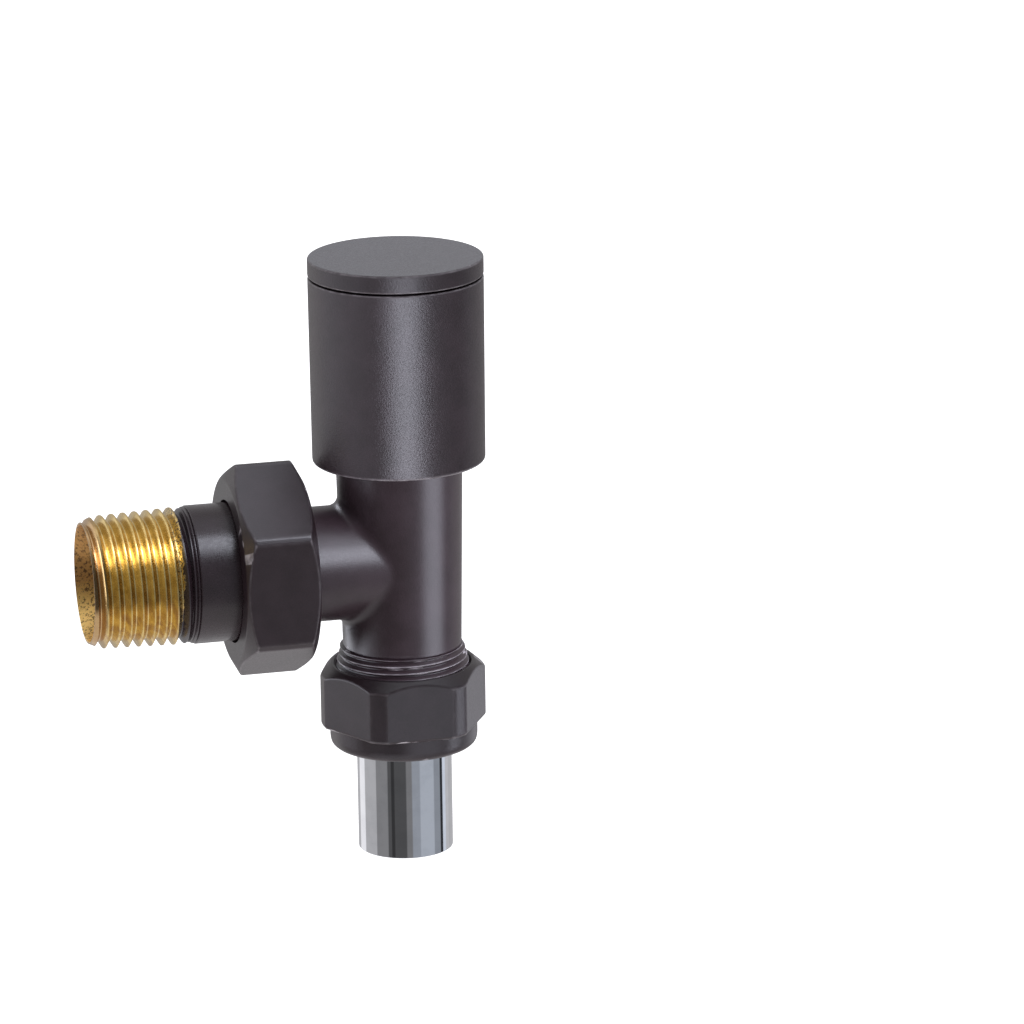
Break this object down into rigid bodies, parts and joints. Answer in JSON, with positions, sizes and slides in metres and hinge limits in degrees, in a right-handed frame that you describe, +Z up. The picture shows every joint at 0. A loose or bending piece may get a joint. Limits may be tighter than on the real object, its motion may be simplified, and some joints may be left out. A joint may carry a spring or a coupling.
{
  "type": "angled radiator valve",
  "caption": "Angled manual radiator valve with a cylindrical handwheel, union tail and compression-jointed supply pipe.",
  "frame": {"origin": "centre of the tail's open end, on the tail's axis", "axes": "+X along the tail from the radiator towards the valve, +Z up along the spindle towards the handwheel"},
  "size_m": [0.0639, 0.03, 0.096],
  "materials": {
    "black_paint": "matte anthracite black paint",
    "brass": "bare machined brass",
    "chrome": "bright chrome plate",
    "steel": "satin spring steel",
    "rubber": "moulded EPDM rubber",
    "packing": "waxy PTFE"
  },
  "bodies": {
    "tail": {"radiator_tail": "brass", "union_seal_ring": "rubber"},
    "union_nut": {"union_nut": "black_paint"},
    "valve_body": {"valve_body": "black_paint", "bonnet": "brass", "bonnet_o_ring": "rubber", "gland_packing": "packing", "gland_nut": "brass"},
    "jumper": {"jumper": "brass", "jumper_clip": "steel", "seat_washer": "rubber", "washer_nut": "brass"},
    "handwheel": {"spindle": "brass", "spindle_o_ring_lower": "rubber", "spindle_o_ring_upper": "rubber", "spindle_circlip": "steel", "handwheel_shell": "black_paint", "handwheel_insert": "brass", "screw_washer": "steel", "handwheel_screw": "steel", "handwheel_cap": "black_paint", "cap_ring": "rubber"},
    "supply_pipe": {"supply_pipe": "chrome", "compression_olive": "brass"},
    "compression_nut": {"compression_nut": "black_paint"}
  },
  "joints": [
    {"name": "union_nut_turn", "type": "hinge", "parent": "tail", "child": "union_nut", "pos_m": [0.0286, 0, 0], "axis": [-1, 0, 0], "range_deg": [0, 1440]},
    {"name": "union_part", "type": "slide", "parent": "tail", "child": "valve_body", "axis": [1, 0, 0], "range_m": [0, 0.00725]},
    {"name": "jumper_lift", "type": "slide", "parent": "valve_body", "child": "jumper", "axis": [0, 0, 1], "range_m": [0, 0.0045]},
    {"name": "handwheel_turn", "type": "hinge", "parent": "jumper", "child": "handwheel", "pos_m": [0.05025, 0, 0.02], "axis": [0, 0, 1], "range_deg": [0, 1080]},
    {"name": "pipe_withdraw", "type": "slide", "parent": "valve_body", "child": "supply_pipe", "axis": [0, 0, -1], "range_m": [0, 0.0074]},
    {"name": "compression_nut_turn", "type": "hinge", "parent": "supply_pipe", "child": "compression_nut", "pos_m": [0.05025, 0, -0.0235], "axis": [0, 0, -1], "range_deg": [0, 2520]}
  ],
  "couplings": [
    {"joint": "union_nut_turn", "follows": "union_part", "rad_per_m": 3463.2},
    {"joint": "handwheel_turn", "follows": "jumper_lift", "rad_per_m": 4188.8},
    {"joint": "compression_nut_turn", "follows": "pipe_withdraw", "rad_per_m": 5936.9}
  ]
}
